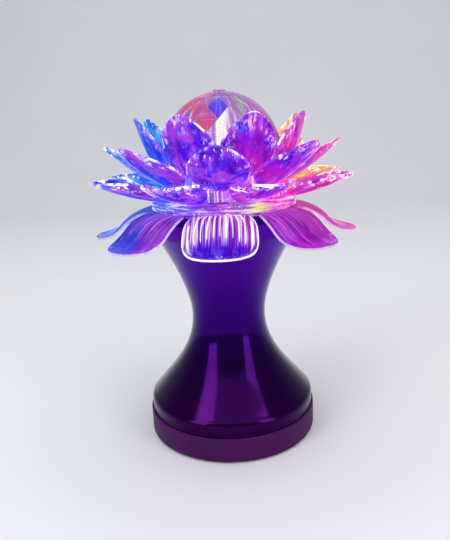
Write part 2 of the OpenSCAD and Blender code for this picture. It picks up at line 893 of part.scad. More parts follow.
module dc_socket() {
    color("black")
        rear(socket_turn)
            difference() {
                union() {
                    translate([-socket_body / 2, socket_back, rear_z - socket_body / 2])
                        cube([socket_body, foot_in - 0.8 - socket_back, socket_body]);
                    translate([0, socket_front, rear_z])
                        rotate([90, 0, 0])
                            cylinder(r = socket_nose_r, h = socket_front - socket_back - 4);
                }
                translate([0, socket_front + 1, rear_z])
                    rotate([90, 0, 0])
                        tube(socket_d / 2, socket_pin_d / 2, socket_depth + 1);
                translate([0, socket_front + 1, rear_z])
                    rotate([90, 0, 0])
                        cylinder(d = socket_d, h = 2);
            }
}

module switch_body() {
    color("dimgray")
        rear(switch_turn)
            difference() {
                union() {
                    translate([-bezel_w / 2, switch_flat, rear_z - bezel_h / 2])
                        cube([bezel_w, bezel_t, bezel_h]);
                    translate([-body_w / 2, switch_flat - body_l, rear_z - body_h / 2])
                        cube([body_w, body_l + bezel_t / 2, body_h]);
                    for (s = [-1, 1])
                        translate([s * 4 - 0.4, switch_flat - body_l - 5, rear_z - 2])
                            cube([0.8, 6, 4]);
                }
                translate([-pocket_w / 2, switch_flat - pocket_l, rear_z - pocket_h / 2])
                    cube([pocket_w, pocket_l + 5, pocket_h]);
                translate([0, pivot_y, rear_z - body_h])
                    cylinder(r = trunnion_r + run_gap, h = 2 * body_h);
            }
}

module switch_rocker() {
    color("red")
        rear(switch_turn)
            translate([0, pivot_y, rear_z])
                rotate([0, 0, rocker_tilt / 2]) {
                    translate([0, 0, -rocker_h / 2])
                        linear_extrude(rocker_h)
                            polygon([[-rocker_half, -1.6], [rocker_half, -1.6], [rocker_half, 3.4],
                                [0, 2.4], [-rocker_half, 3.4]]);
                    translate([0, 0, -body_h / 2 + pilot_room])
                        cylinder(r = trunnion_r, h = body_h - 2 * pilot_room);
                }
}

foot_disc();
bottom_cover();
rubber_pads();
small_screws();
pedestal_shell();
deck_plate();
shaft_bush();
motor_bracket();
gearbox_case();
motor_can();
lamp_board();
diode_ring();
collar_ring();
column_ring();
neck_ring();
clamp_ring();
stack_screws();
driver_board();
wire_loom();
dc_socket();
switch_body();
switch_rocker();
motor_pinion();
drive_gear();
drive_shaft();
dome_plate();
crystal_dome();
dome_cap();
for (k = [1:petals]) {
    sepal(k);
    outer_petal(k);
    middle_petal(k);
    inner_petal(k);
}
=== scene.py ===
# %% [markdown]
# # A lotus lamp, dressed
# The imported CAD model is the frame of this scene: every piece is made in metres, in the same
# axes, and rides on one of the model's bodies. We keep the CAD box, and pieces read sizes from it.

# %% Load the frame
import math
import bmesh
import bpy
from mathutils import Matrix, Vector
from mathutils.geometry import interpolate_bezier


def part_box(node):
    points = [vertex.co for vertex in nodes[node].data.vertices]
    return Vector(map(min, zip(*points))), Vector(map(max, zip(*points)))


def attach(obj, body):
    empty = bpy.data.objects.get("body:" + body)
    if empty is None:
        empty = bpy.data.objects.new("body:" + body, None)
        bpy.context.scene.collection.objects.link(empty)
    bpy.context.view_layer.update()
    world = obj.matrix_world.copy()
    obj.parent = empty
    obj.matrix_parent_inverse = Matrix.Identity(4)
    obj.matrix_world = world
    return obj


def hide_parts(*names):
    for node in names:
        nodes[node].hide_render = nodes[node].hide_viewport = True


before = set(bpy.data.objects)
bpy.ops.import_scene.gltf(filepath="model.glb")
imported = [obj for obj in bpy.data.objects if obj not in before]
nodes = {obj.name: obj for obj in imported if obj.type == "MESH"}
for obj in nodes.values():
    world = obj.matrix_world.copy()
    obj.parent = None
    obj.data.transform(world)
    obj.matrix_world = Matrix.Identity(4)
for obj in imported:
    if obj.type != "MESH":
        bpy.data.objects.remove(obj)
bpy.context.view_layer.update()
mm = 0.001

# %% [markdown]
# ## Camera
# The photograph was taken a little above the flower, close to the lamp, with the camera leaning
# a touch to one side. The place, the pitch and the lean come from fitting the outline of the
# round foot, the waist and the dome. The long side of the picture is 540 pixels, and a 36 mm
# sensor on that side turns a focal length in pixels into a lens in millimetres.

# %% Camera
pitch, yaw, roll = math.radians(14.38), math.radians(-2.82), math.radians(-2.54)
camera_place = (0.0172, -0.3762, 0.2138)
focal_pixels, picture_pixels, sensor_mm = 543.7, 540, 36
look = Vector((math.sin(yaw) * math.cos(pitch), math.cos(yaw) * math.cos(pitch), -math.sin(pitch)))
right = look.cross(Vector((0, 0, 1))).normalized()
up = right.cross(look)
lean_right = right * math.cos(roll) + up * math.sin(roll)
lean_up = up * math.cos(roll) - right * math.sin(roll)
camera_data = bpy.data.cameras.new("photo_camera")
camera_data.sensor_width = sensor_mm
camera_data.lens = focal_pixels / picture_pixels * sensor_mm
camera_data.clip_start = 0.01
camera = bpy.data.objects.new("photo_camera", camera_data)
bpy.context.scene.collection.objects.link(camera)
facing = Matrix((lean_right, lean_up, -look)).transposed().to_4x4()
camera.matrix_world = Matrix.Translation(camera_place) @ facing
bpy.context.scene.camera = camera
print("lens", round(camera_data.lens, 2))

# %% [markdown]
# ## A finished piece
# Each piece is a bmesh that becomes one object at the origin, with its place in its mesh. A
# second helper names the body that the piece rides on and hides the CAD nodes it stands for.

# %% Piece helpers
def new_object(name, bm, finishes):
    """Turn a bmesh into an object with its finishes in order."""
    mesh = bpy.data.meshes.new(name)
    bm.to_mesh(mesh)
    bm.free()
    for finish in finishes:
        mesh.materials.append(finish.material)
    made = bpy.data.objects.new(name, mesh)
    bpy.context.scene.collection.objects.link(made)
    return made


def smooth_faces(bm):
    for face in bm.faces:
        face.smooth = True


def finish_piece(name, bm, finishes, body, replaced=(), smooth=True):
    """Make a piece that rides on a body and stands for CAD nodes."""
    if smooth:
        smooth_faces(bm)
    piece = new_object(name, bm, finishes)
    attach(piece, body)
    if replaced:
        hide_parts(*replaced)
    return piece


print("piece helpers ready")

# %% [markdown]
# ## Shader maths
# A surface that changes from place to place needs many small nodes. This class wraps a socket so
# that sums and products can be written as Python.

# %% Flow
class Flow:
    """A value on its way through a shader tree."""

    def __init__(self, finish, socket):
        self.finish, self.socket = finish, socket

    def maths(self, operation, *others):
        return self.finish.node("ShaderNodeMath", {"operation": operation}, [self, *others])

    def after(self, operation, first):
        return self.finish.node("ShaderNodeMath", {"operation": operation}, [first, self])

    def __add__(self, other):
        return self.maths("ADD", other)

    def __sub__(self, other):
        return self.maths("SUBTRACT", other)

    def __rsub__(self, other):
        return self.after("SUBTRACT", other)

    def __mul__(self, other):
        return self.maths("MULTIPLY", other)

    def __truediv__(self, other):
        return self.maths("DIVIDE", other)

    def __rtruediv__(self, other):
        return self.after("DIVIDE", other)

    def __pow__(self, other):
        return self.maths("POWER", other)

    def __rpow__(self, other):
        return self.after("POWER", other)

    __radd__, __rmul__ = __add__, __mul__

    def clamp(self):
        return self.finish.node("ShaderNodeClamp", {}, [self, 0.0, 1.0])

    def step(self, low, high):
        """A soft step from 0 at low to 1 at high, or down again when high is the smaller."""
        return self.finish.node(
            "ShaderNodeMapRange", {"interpolation_type": "SMOOTHSTEP"}, [self, low, high, 0.0, 1.0])

    def grey(self):
        """The first channel of a colour, as a number."""
        return self.finish.node("ShaderNodeSeparateColor", {}, [self])


print("flow ready")

# %% [markdown]
# A finish is a material with one Principled shader. What is the same all over is set on the
# shader's own sockets. One method makes any node, and short methods name the common ones.

# %% Finish
class Finish:
    """A material with one Principled shader and helpers that feed it."""

    def __init__(self, name, **fixed):
        self.material = bpy.data.materials.new(name)
        self.material.use_nodes = True
        self.tree = self.material.node_tree
        self.shader = self.tree.nodes["Principled BSDF"]
        for socket, value in fixed.items():
            self.shader.inputs[socket.replace("_", " ")].default_value = value

    def node(self, kind, settings, sockets, out=0):
        """Make a node: its settings first, then a value or a link for each socket."""
        made = self.tree.nodes.new(kind)
        for key, value in settings.items():
            if key == "stops":
                ramp = made.color_ramp
                while len(ramp.elements) < len(value):
                    ramp.elements.new(0.5)
                for element, (at, colour) in zip(ramp.elements, value):
                    element.position, element.color = at, (*colour, 1.0)
            elif key == "blend":
                made.color_ramp.interpolation = value
            else:
                setattr(made, key, value)
        pairs = sockets.items() if isinstance(sockets, dict) else enumerate(sockets)
        for key, value in pairs:
            if isinstance(value, Flow):
                self.tree.links.new(value.socket, made.inputs[key])
            else:
                made.inputs[key].default_value = value
        return Flow(self, made.outputs[out])

    def feed(self, socket, flow):
        self.tree.links.new(flow.socket, self.shader.inputs[socket])

    def place(self):
        return self.node("ShaderNodeTexCoord", {}, [], "Object")

    def axes(self):
        split = self.node("ShaderNodeSeparateXYZ", {}, [self.place()]).socket.node
        return [Flow(self, socket) for socket in split.outputs]

    def spot(self, x, y, z):
        """A place put together from three numbers, to stretch a pattern along one of them."""
        return self.node("ShaderNodeCombineXYZ", {}, [x, y, z])

    def noise(self, scale, detail=3.0, where=None):
        return self.node("ShaderNodeTexNoise", {}, {
            "Vector": where or self.place(), "Scale": scale, "Detail": detail})

    def ramp(self, flow, stops, blend="LINEAR"):
        return self.node("ShaderNodeValToRGB", {"stops": stops, "blend": blend}, [flow])

    def mix(self, share, a, b, how="MIX"):
        a, b = [c if isinstance(c, Flow) else (*c, 1.0) for c in (a, b)]
        return self.node(
            "ShaderNodeMix", {"data_type": "RGBA", "blend_type": how}, {0: share, 6: a, 7: b}, 2)

    def times(self, flow, colour):
        """A colour multiplied by a fixed one."""
        return self.mix(1.0, flow, colour, "MULTIPLY")

    def own(self, name):
        """A number stored on the piece's own vertices."""
        return self.node("ShaderNodeAttribute", {"attribute_name": name}, [], "Fac")

    def bump(self, height, strength, distance):
        self.feed("Normal", self.node("ShaderNodeBump", {}, {
            "Height": height, "Strength": strength, "Distance": distance}))


print("finish ready")

# %% [markdown]
# ## Stage
# A pale sweep stands behind and under the lamp. It is a strip whose back edge is spun up into a
# quarter round and then extruded, so floor and wall have no line between them.

# %% Sweep
sweep_paint = Finish("sweep_paint", Roughness=0.9)
sweep_paint.feed("Base Color", sweep_paint.ramp(
    sweep_paint.noise(3.0), [(0.3, (0.86, 0.86, 0.87)), (0.7, (0.89, 0.89, 0.9))]))
half_width, front_y, back_y, curl_r, wall_rise = 3.0, -2.5, 1.1, 0.8, 2.5


def points_of(geometry):
    return [part for part in geometry if isinstance(part, bmesh.types.BMVert)]


def edges_of(geometry):
    return [part for part in geometry if isinstance(part, bmesh.types.BMEdge)]


bm = bmesh.new()
front_edge = bm.edges.new([bm.verts.new((x, front_y, 0)) for x in (-half_width, half_width)])
floor = bmesh.ops.extrude_edge_only(bm, edges=[front_edge])["geom"]
floor_end = points_of(floor)
bmesh.ops.translate(bm, verts=floor_end, vec=(0, back_y - front_y, 0))
back_edge = [e for e in edges_of(floor) if all(v in floor_end for v in e.verts)]
curl = bmesh.ops.spin(bm, geom=back_edge + floor_end, cent=(0, back_y, curl_r), axis=(1, 0, 0),
                      angle=math.radians(90), steps=16)["geom_last"]
wall = bmesh.ops.extrude_edge_only(bm, edges=edges_of(curl))["geom"]
bmesh.ops.translate(bm, verts=points_of(wall), vec=(0, 0, wall_rise))
smooth_faces(bm)
bmesh.ops.recalc_face_normals(bm, faces=bm.faces)
sweep = new_object("sweep", bm, [sweep_paint])
print("sweep faces", len(sweep.data.polygons))

# %% [markdown]
# Soft boxes light the lamp: two tall ones draw upright streaks on the plated pedestal, and a wide
# one hangs above. A pale room fills the rest.

# %% Lights
def soft_box(name, place, target, width, height, watts):
    """A rectangle of light that faces its target."""
    data = bpy.data.lights.new(name, "AREA")
    data.shape, data.size, data.size_y, data.energy = "RECTANGLE", width, height, watts
    lamp = bpy.data.objects.new(name, data)
    bpy.context.scene.collection.objects.link(lamp)
    lamp.location = place
    lamp.rotation_mode = "QUATERNION"
    lamp.rotation_quaternion = (Vector(target) - Vector(place)).to_track_quat("-Z", "Y")


soft_box("key_box", (-0.75, -0.75, 0.65), (0, 0, 0.12), 0.45, 0.9, 4.0)
soft_box("fill_box", (0.8, -0.7, 0.5), (0, 0, 0.12), 0.35, 0.9, 2.8)
soft_box("top_box", (0.0, -0.1, 1.3), (0, 0, 0.1), 2.2, 2.2, 11.0)
world = bpy.data.worlds.new("room")
world.use_nodes = True
room_light = world.node_tree.nodes["Background"].inputs
room_light["Color"].default_value = (0.9, 0.92, 1.0, 1.0)
room_light["Strength"].default_value = 0.5
bpy.context.scene.world = world
bpy.context.scene.view_settings.view_transform = "Standard"

# %% [markdown]
# ## Plated pedestal
# The pedestal is a moulding with a mirror plating in deep violet: it shows the room as soft
# upright streaks. The plating is a metal whose colour shifts from blue violet under the flower
# to a duller purple near the foot, with the faint waviness of a moulded skin.

# %% Pedestal finish
plating_start, plating_rise = 0.018, 0.13
plating = Finish("violet_plating", Metallic=1.0)
_, _, z = plating.axes()
height = (z - plating_start) / plating_rise
tone = height + (plating.noise(14.0) - 0.5) * 0.16
plating.feed("Base Color", plating.ramp(tone, [
    (0.0, (0.032, 0.003, 0.058)), (0.3, (0.02, 0.002, 0.056)), (0.62, (0.036, 0.002, 0.19)),
    (0.95, (0.075, 0.004, 0.34))]))
plating.feed("Roughness", plating.noise(30.0, 5.0) * 0.1 + 0.07)
plating.bump(plating.noise(55.0, 2.0), 0.06, 0.001)
print("plating ready")

# %% [markdown]
# The pedestal is a turned shape, so its wall outline is drawn once and spun about the upright
# axis. It starts with a small bead on the foot and a round shoulder. Two Bezier curves give the
# flanks, the same ones that the CAD model uses, and the inside follows them one wall further in.

# %% Pedestal outline
foot_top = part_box("foot_disc")[1].z / mm
rim_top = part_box("pedestal_shell")[1].z / mm
band_r, waist_r, mouth_r, shell_wall = 59.2, 26.3, 50.0, 2.6
waist_z, mouth_z = foot_top + 68.5, rim_top - 12
shoulder_z, shoulder_r, shoulder_turn = foot_top + 7, 5.0, math.radians(50)
base_gap, lip_round = 0.05, 0.6


def shoulder_point(turn):
    return (band_r - shoulder_r * (1 - math.cos(turn)), shoulder_z + shoulder_r * math.sin(turn))


def flank(*handles):
    """Forty points of a Bezier curve with four handles, each a radius and a height."""
    return [(p.x, p.z) for p in interpolate_bezier(*[Vector((r, 0, h)) for r, h in handles], 40)]


bead = [(band_r - 0.7, foot_top + base_gap), (band_r - 0.2, foot_top + 0.2), (band_r, foot_top + 0.7),
        (band_r, foot_top + 2.2), (band_r - 0.45, foot_top + 2.5), (band_r, foot_top + 2.8)]
shoulder = [shoulder_point(shoulder_turn * i / 8) for i in range(9)]
end_r, end_z = shoulder_point(shoulder_turn)
low_flank = flank(
    (end_r, end_z), (end_r - 14.1, end_z + 16.9), (waist_r, waist_z - 25), (waist_r, waist_z))
high_flank = flank(
    (waist_r, waist_z), (waist_r, waist_z + 18), (mouth_r - 10, mouth_z - 15.5), (mouth_r, mouth_z))
sides = shoulder + low_flank[1:] + high_flank[1:]
outside = bead + sides + [(mouth_r, rim_top - lip_round), (mouth_r - lip_round, rim_top)]
core = [(band_r, foot_top + base_gap)] + sides + [(mouth_r, rim_top)]
inside = [(r - shell_wall, h) for r, h in reversed(core)]
print("outline points", len(outside) + len(inside))

# %% [markdown]
# Spinning leaves the seam doubled and can turn the faces, so the helper merges the seam and sets
# the normals again. A second helper marks the sharp edges, where smooth shading has to stop.

# %% Pedestal
def turned(outline, steps):
    """Spin a closed outline of (radius, height) in millimetres about the upright axis."""
    bm = bmesh.new()
    ring = [bm.verts.new((r * mm, 0, h * mm)) for r, h in outline]
    edges = [bm.edges.new((ring[i - 1], ring[i])) for i in range(len(ring))]
    bmesh.ops.spin(bm, geom=ring + edges, cent=(0, 0, 0), axis=(0, 0, 1),
                   angle=math.tau, steps=steps, use_merge=True)
    bmesh.ops.remove_doubles(bm, verts=bm.verts, dist=1e-7)
    bmesh.ops.recalc_face_normals(bm, faces=bm.faces)
    return bm


def keep_edges(bm, degrees):
    """Mark edges sharper than this so that smooth shading stops there."""
    for edge in bm.edges:
        if len(edge.link_faces) == 2 and edge.calc_face_angle() > math.radians(degrees):
            edge.smooth = False


bm = turned(outside + inside, 144)
keep_edges(bm, 40)
pedestal = finish_piece("pedestal", bm, [plating], "base", ["pedestal_shell"])
print("pedestal faces", len(pedestal.data.polygons))

# %% [markdown]
# ## Foot disc
# The foot is a plain satin disc in dull violet. Its CAD node already has the right edges and the
# cut-outs for switch and socket, so it only needs a finish: fine moulded grain and faint turning
# lines round the wall.

# %% Foot finish
foot_satin = Finish("foot_satin", Specular_IOR_Level=0.12)
grain = foot_satin.noise(900.0, 2.0)
cloud = foot_satin.noise(35.0, 4.0)
foot_satin.feed("Base Color", foot_satin.ramp(cloud * 0.7 + grain * 0.3, [
    (0.25, (0.034, 0.002, 0.05)), (0.55, (0.055, 0.004, 0.075)), (0.8, (0.078, 0.007, 0.102))]))
foot_satin.feed("Roughness", cloud * 0.15 + 0.42)
lathe = foot_satin.node("ShaderNodeTexWave", {"bands_direction": "Z"}, {
    "Vector": foot_satin.place(), "Scale": 420.0, "Distortion": 1.0, "Detail": 1.0}, "Fac")
foot_satin.bump(grain * 0.7 + lathe * 0.3, 0.15, 0.0004)
print("foot finish ready")

# %% [markdown]
# ## Petal glow
# The petals are clear mouldings that carry coloured light from the diodes in the middle. Every
# petal will store five numbers on its points: how far along the petal they are, how much painted
# light falls there on the ribs, the round mark and the lip, how far in from the rim, how far
# across, and a number of the petal's own. The finish reads them, so its streaks run lengthwise
# and no two petals look the same.

# %% What a petal finish reads
petal_layers = ("along", "rib", "inset", "across", "leaf")


def round_angle(finish):
    """Angle round the lamp from 0 to 1: 0.25 is the left, 0.5 the front, 0.75 the right."""
    x, y, _ = finish.axes()
    return finish.node("ShaderNodeMath", {"operation": "ARCTAN2"}, [x, y * -1.0]) / math.tau + 0.5


class PetalGlow(Finish):
    """Clear resin that knows where it is on a petal; ruled is how strongly the petal is lined."""

    def __init__(self, name, shine, clear, ruled):
        super().__init__(
            name, IOR=1.2 - 0.12 * ruled, Transmission_Weight=clear, Emission_Strength=shine)
        self.ruled = ruled
        self.along, self.rib, self.inset, self.across, self.leaf = map(self.own, petal_layers)
        self.angle = round_angle(self)
        # Painted light: the petal in front gets the full painted highlight, the others a little.
        self.front = (self.angle - 0.5).maths("ABSOLUTE").step(0.075, 0.055) * 0.93 + 0.07
        self.streak = self.drawn_out(0.34, 2.2, 6.0)
        self.fine = self.drawn_out(0.9, 1.3, 2.0)
        # Near the rim, and not at the root.
        self.edge = self.inset.step(9.5, 1.0) * self.along.step(0.3, 0.65)
        # Small cells, used as painted sparkle and as relief in the bump.
        sparkle_specks = {"Vector": self.place(), "Scale": 400.0}
        self.cells = self.node("ShaderNodeTexVoronoi", {}, sparkle_specks, "Color").grey()
        self.crackle_glints = self.node(
            "ShaderNodeTexVoronoi", {"feature": "DISTANCE_TO_EDGE"}, sparkle_specks, "Distance")

    def drawn_out(self, across, along, detail, shift=0.0):
        """Noise drawn out along the petal; shift gives another pattern."""
        where = self.spot(self.across * across, self.along * along, self.leaf + shift)
        return self.noise(1.0, detail, where)


print("petal numbers", petal_layers)

# %% [markdown]
# The diodes differ round the ring, so the hue follows the angle round the lamp: blue at the left,
# violet in front, magenta at the right, orange and green behind. Noise lets the hues drift into
# one another, and lengthwise streaks make the resin paler and deeper. The rim and the ribs are
# painted paler as painted highlights. A ruled petal gets fine dark lines, with painted shade on the
# ribs away from the petal in front, and a few painted glints in its own hue as well.

# %% Petal colour
petal_hues = [
    (0.0, (0.12, 0.6, 0.18)), (0.1, (0.01, 0.4, 0.8)), (0.22, (0.008, 0.12, 0.85)),
    (0.36, (0.03, 0.05, 0.85)), (0.435, (0.44, 0.06, 0.75)), (0.5, (0.06, 0.01, 0.85)),
    (0.56, (0.3, 0.015, 0.76)), (0.67, (0.56, 0.015, 0.56)), (0.8, (0.76, 0.03, 0.36)),
    (0.92, (0.95, 0.5, 0.05)), (1.0, (0.12, 0.6, 0.18))]
white, pale_violet, root_magenta = (1.0, 1.0, 1.0), (0.85, 0.8, 1.0), (0.62, 0.08, 0.78)


def petal_colour(glow, mottle, ahead):
    """Hue by angle, drifting by mottle and turned by ahead, with streaks, ruled lines, painted highlights
    on rim and ribs, painted shade on the ribs and painted glints.
    """
    drift = (glow.noise(58.0) - 0.5) * 0.42 * mottle + (glow.noise(150.0) - 0.5) * 0.22 * mottle
    root = glow.along.step(0.75, 0.35) * 0.045 * glow.ruled
    hue = glow.ramp((glow.angle + ahead + drift + root).maths("FRACT"), petal_hues)
    pale = glow.mix(0.12 - 0.11 * glow.ruled, glow.times(hue, (1.4, 2.0, 1.25)), pale_violet)
    shadow = glow.times(hue, (0.55, 0.5, 0.7))
    vivid = glow.mix(0.12, glow.times(hue, (1.8, 4.0, 1.5)), white)
    tone = glow.streak * 0.5 + glow.noise(90.0, 6.0) * 0.5
    colour = glow.mix(tone.step(0.38, 0.5), shadow, hue)
    colour = glow.mix(tone.step(0.53, 0.64) * 0.85, colour, pale)
    # Painted highlight: paler at the rim and on the ribs.
    colour = glow.mix((glow.inset.step(1.3, 0.2) * 0.35 + glow.rib * 0.1).clamp(), colour, pale)
    near_root = glow.along.step(0.72, 0.52) * glow.front * glow.ruled
    colour = glow.mix(near_root, colour, root_magenta)
    ruling = glow.along.step(0.95, 0.7) * glow.ruled
    # Painted shade on the ribs away from the petal in front, with fine dark lines.
    lines = glow.fine.step(0.47, 0.41) + glow.rib * (1.0 - glow.front)
    colour = glow.mix(lines.clamp() * ruling, colour, shadow)
    # Painted glints: a few bright strokes in a vivid tint of the hue.
    spark = glow.fine.step(0.6, 0.65) * glow.noise(60.0).step(0.48, 0.6) * ruling
    return glow.mix(spark, colour, vivid)


print("petal hues", len(petal_hues))

# %% [markdown]
# Painted highlights put white light where the resin would throw it towards us: in patches of
# small cells and short glints near the rim, along the rim itself, on the ribs of the petal in
# front, and softly at the tips.

# %% Petal light
def patch_light(glow):
    """Painted highlights: cells and crackle lines in patches near the rim, and short lengthwise glints.
    """
    patch = glow.noise(70.0, 3.0).step(0.48, 0.62) * glow.edge
    crackle_glints = glow.crackle_glints.step(0.1, 0.03) * glow.fine.step(0.4, 0.55)
    glint = glow.drawn_out(0.6, 7.0, 3.0, 7.0).step(0.63, 0.69) * (glow.edge * 0.85 + 0.15)
    return (crackle_glints * 0.6 + glow.cells.step(0.72, 0.8) * 0.8) * patch + glint


def rim_light(glow, bead):
    """Painted highlight along the rim: broken where bead is 0, whole where it is 1."""
    broken = glow.noise(100.0).step(0.52, 0.62) * (1.0 - bead)
    whole = (glow.front * 0.6 + 0.4) * bead
    return glow.inset.step(1.0, 0.3) * (broken + whole) * glow.along.step(0.05, 0.3)


def rib_light(glow):
    """Painted highlight: ragged on the ribs, in strokes between them and on the round mark near the tip.
    """
    ragged = (glow.rib + (glow.fine - 0.5) * 0.9).step(0.42, 0.66) * glow.rib.step(0.05, 0.2)
    strokes = glow.fine.step(0.5, 0.57) * glow.along.step(0.7, 0.5) * glow.ruled
    mark = glow.rib * glow.along.step(0.84, 0.88)
    return (ragged + strokes * 0.8 + mark).clamp() * glow.front


def tip_light(glow):
    """Painted highlight, soft near the tip, broken by the streaks."""
    cloud = glow.drawn_out(0.22, 5.0, 2.0, 3.0).step(0.5, 0.6)
    return glow.along.step(0.66, 0.86) * cloud * glow.streak.step(0.42, 0.56)


print("petal lights ready")

# %% [markdown]
# Colour and painted light meet in three finishes: one for the ruled drooping petals, one for the
# upper petals, and one for the low spreading petals, which get the most painted glints.

# %% Petal finishes
def petal_finish(name, shine, clear, mottle, sparkling, bead, ruled, ahead=0.0):
    """Clear resin that carries coloured light, with painted highlights."""
    glow = PetalGlow(name, shine, clear, ruled)
    colour = petal_colour(glow, mottle, ahead)
    patches = patch_light(glow) * sparkling
    tips = tip_light(glow) * 0.5 * (1.0 - bead)
    light = (rim_light(glow, bead) + rib_light(glow) + patches + tips).clamp()
    body = glow.times(colour, [0.28 - 0.15 * ruled] * 3)
    # Painted highlights go into both the colour and the glow.
    glow.feed("Base Color", glow.mix(light * 0.6, body, (0.93, 0.94, 1.0)))
    glow.feed("Emission Color", glow.mix(light, colour, (0.97, 0.93, 1.0)))
    glow.feed("Roughness", glow.noise(80.0) * 0.1 + 0.02)
    chipped = glow.cells * glow.edge * 0.6 * sparkling
    glow.bump(glow.streak * 0.5 + glow.noise(160.0, 3.0) * 0.5 + chipped, 0.32, 0.0008)
    return glow


sepal_glow = petal_finish(
    "sepal_glow", shine=0.66, clear=0.1, mottle=0.3, sparkling=0.2, bead=0.9, ruled=0.7)
upper_glow = petal_finish(
    "petal_glow", shine=0.68, clear=0.35, mottle=1.0, sparkling=1.0, bead=0.0, ruled=0.0)
low_glow = petal_finish(
    "low_petal_glow", shine=0.72, clear=0.35, mottle=1.0, sparkling=1.8, bead=0.0, ruled=0.0, ahead=0.05)
print("petal finishes ready")

# %% [markdown]
# ## Petal sheets
# A petal is two bent grids, one for each face. A grid operator makes the sheet, each of its
# points is moved by a formula for the bend and the outline, and the two open rims are bridged.
# The wall is thin in the middle and thicker at the rim. A flat tab at the root is what the rings
# clamp.

# %% Petal helpers
tab_start, tab_wide, tab_thick = 33.3, 9.0, 1.8


def smooth_step(low, high, value):
    t = min(1.0, max(0.0, (value - low) / (high - low)))
    return t * t * (3 - 2 * t)


def two_sided(bm, rows, columns, shape, turn, leaf):
    """Build a closed petal from shape(t, s, side): a place in mm, the painted light on ribs, mark and
    lip, the inset.
    """
    layers = [bm.verts.layers.float.new(name) for name in petal_layers]
    for side in (-1, 1):
        grid = bmesh.ops.create_grid(bm, x_segments=columns, y_segments=rows, size=1.0)["verts"]
        for v in grid:
            t, s = math.sin((v.co.x + 1) / 2 * math.pi / 2), v.co.y
            place, rib, inset = shape(t, s, side)
            v.co = turn @ (Vector(place) * mm)
            for layer, value in zip(layers, (t, rib, inset, place[1], leaf)):
                v[layer] = value
        bmesh.ops.remove_doubles(bm, verts=grid, dist=2e-6)
    bmesh.ops.bridge_loops(bm, edges=[e for e in bm.edges if len(e.link_faces) == 1])
    bmesh.ops.recalc_face_normals(bm, faces=bm.faces)


def root_tab(bm, end, low, turn):
    box = bmesh.ops.create_cube(bm, size=1.0)["verts"]
    bmesh.ops.scale(bm, verts=box, vec=((end - tab_start) * mm, tab_wide * mm, tab_thick * mm))
    bmesh.ops.translate(bm, verts=box, vec=(
        (tab_start + end) / 2 * mm, 0, (low + tab_thick / 2) * mm))
    bmesh.ops.transform(bm, verts=box, matrix=turn)


def make_petal(whorl, k, first, shape, grid, tab_end, low, leaf, finish):
    """Petal k of eight in a whorl, with its root tab; turned by 90 degrees, the first faces us."""
    turn = Matrix.Rotation(math.radians(first + 45 * (k - 1) - 90), 4, "Z")
    bm = bmesh.new()
    two_sided(bm, *grid, shape, turn, leaf)
    root_tab(bm, tab_end, low, turn)
    keep_edges(bm, 60)
    finish_piece(f"{whorl}_leaf_{k}", bm, [finish], "base", [f"{whorl}_{k}"])


print("petal helpers ready")

# %% [markdown]
# ## Upper petals
# The three upper whorls are shallow saucer patches that rise from the rings at different slopes.
# A patch has one bend along the petal and a tighter one across it, as in the CAD model, and its
# outline is a sine that shift and blunt make fuller or more pointed.

# %% Saucer shape
middle_wall, rim_wall = 0.9, 1.1


def saucer_petal(root_r, low, reach, climb, width, r_long, r_cross, shift, blunt):
    """Shape of an upper petal between its root and its tip."""
    run, rise = reach - root_r, climb - tab_thick / 2
    chord, slope = math.hypot(run, rise), math.atan2(rise, run)
    lift = math.sqrt(r_long ** 2 - chord ** 2 / 4)

    def half(t):
        wide = width / 2 * max(0.0, math.sin(math.pi * t ** shift)) ** blunt
        return max(tab_wide / 2 * (1 - t), wide)

    def shape(t, s, side):
        u, v = chord * t, s * half(t)
        rho = r_long - r_cross + math.sqrt(r_cross ** 2 - v ** 2)
        w = lift - math.sqrt(rho ** 2 - (u - chord / 2) ** 2)
        inset = min(half(t) * (1 - abs(s)), chord * (1 - t) * 1.5)
        petal_wall = middle_wall + (rim_wall - middle_wall) * smooth_step(2.5, 0.6, inset)
        w += side * petal_wall / 2
        r = root_r + u * math.cos(slope) - w * math.sin(slope)
        h = low + tab_thick / 2 + u * math.sin(slope) + w * math.cos(slope)
        return (r, v, h), 0.0, inset

    return shape


print("saucer shape ready")

# %% [markdown]
# The rows give the first petal's angle, the finish and the sizes in millimetres of each whorl.

# %% Upper petals
collar_top, column_top, neck_top = [
    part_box(name)[1].z / mm for name in ("collar_ring", "column_ring", "neck_ring")]
whorls = {
    "outer_petal": (22.5, low_glow, dict(
        root_r=43.8, low=collar_top, reach=89.2, climb=15.2, width=38, r_long=145, r_cross=26,
        shift=1.05, blunt=0.48)),
    "middle_petal": (0.0, upper_glow, dict(
        root_r=43.1, low=column_top, reach=80.0, climb=27.8, width=38, r_long=150, r_cross=34,
        shift=0.62, blunt=0.52)),
    "inner_petal": (22.5, upper_glow, dict(
        root_r=42.6, low=neck_top, reach=57.5, climb=37.6, width=36, r_long=120, r_cross=40,
        shift=0.8, blunt=0.6)),
}
for whorl, (first, glow, sizes) in whorls.items():
    shape, low = saucer_petal(**sizes), sizes["low"]
    for k in range(1, 9):
        make_petal(whorl, k, first, shape, (28, 36), sizes["root_r"] + 1.0, low, 3.7 * k + low, glow)
    print(whorl, "made")

# %% [markdown]
# ## Drooping petals
# The lowest petals leave the collar level, arch down and flick out again at the tip: two arcs of
# the same bend, one after the other. The petal widens from its tab to a little before the middle
# and closes in a blunt round.

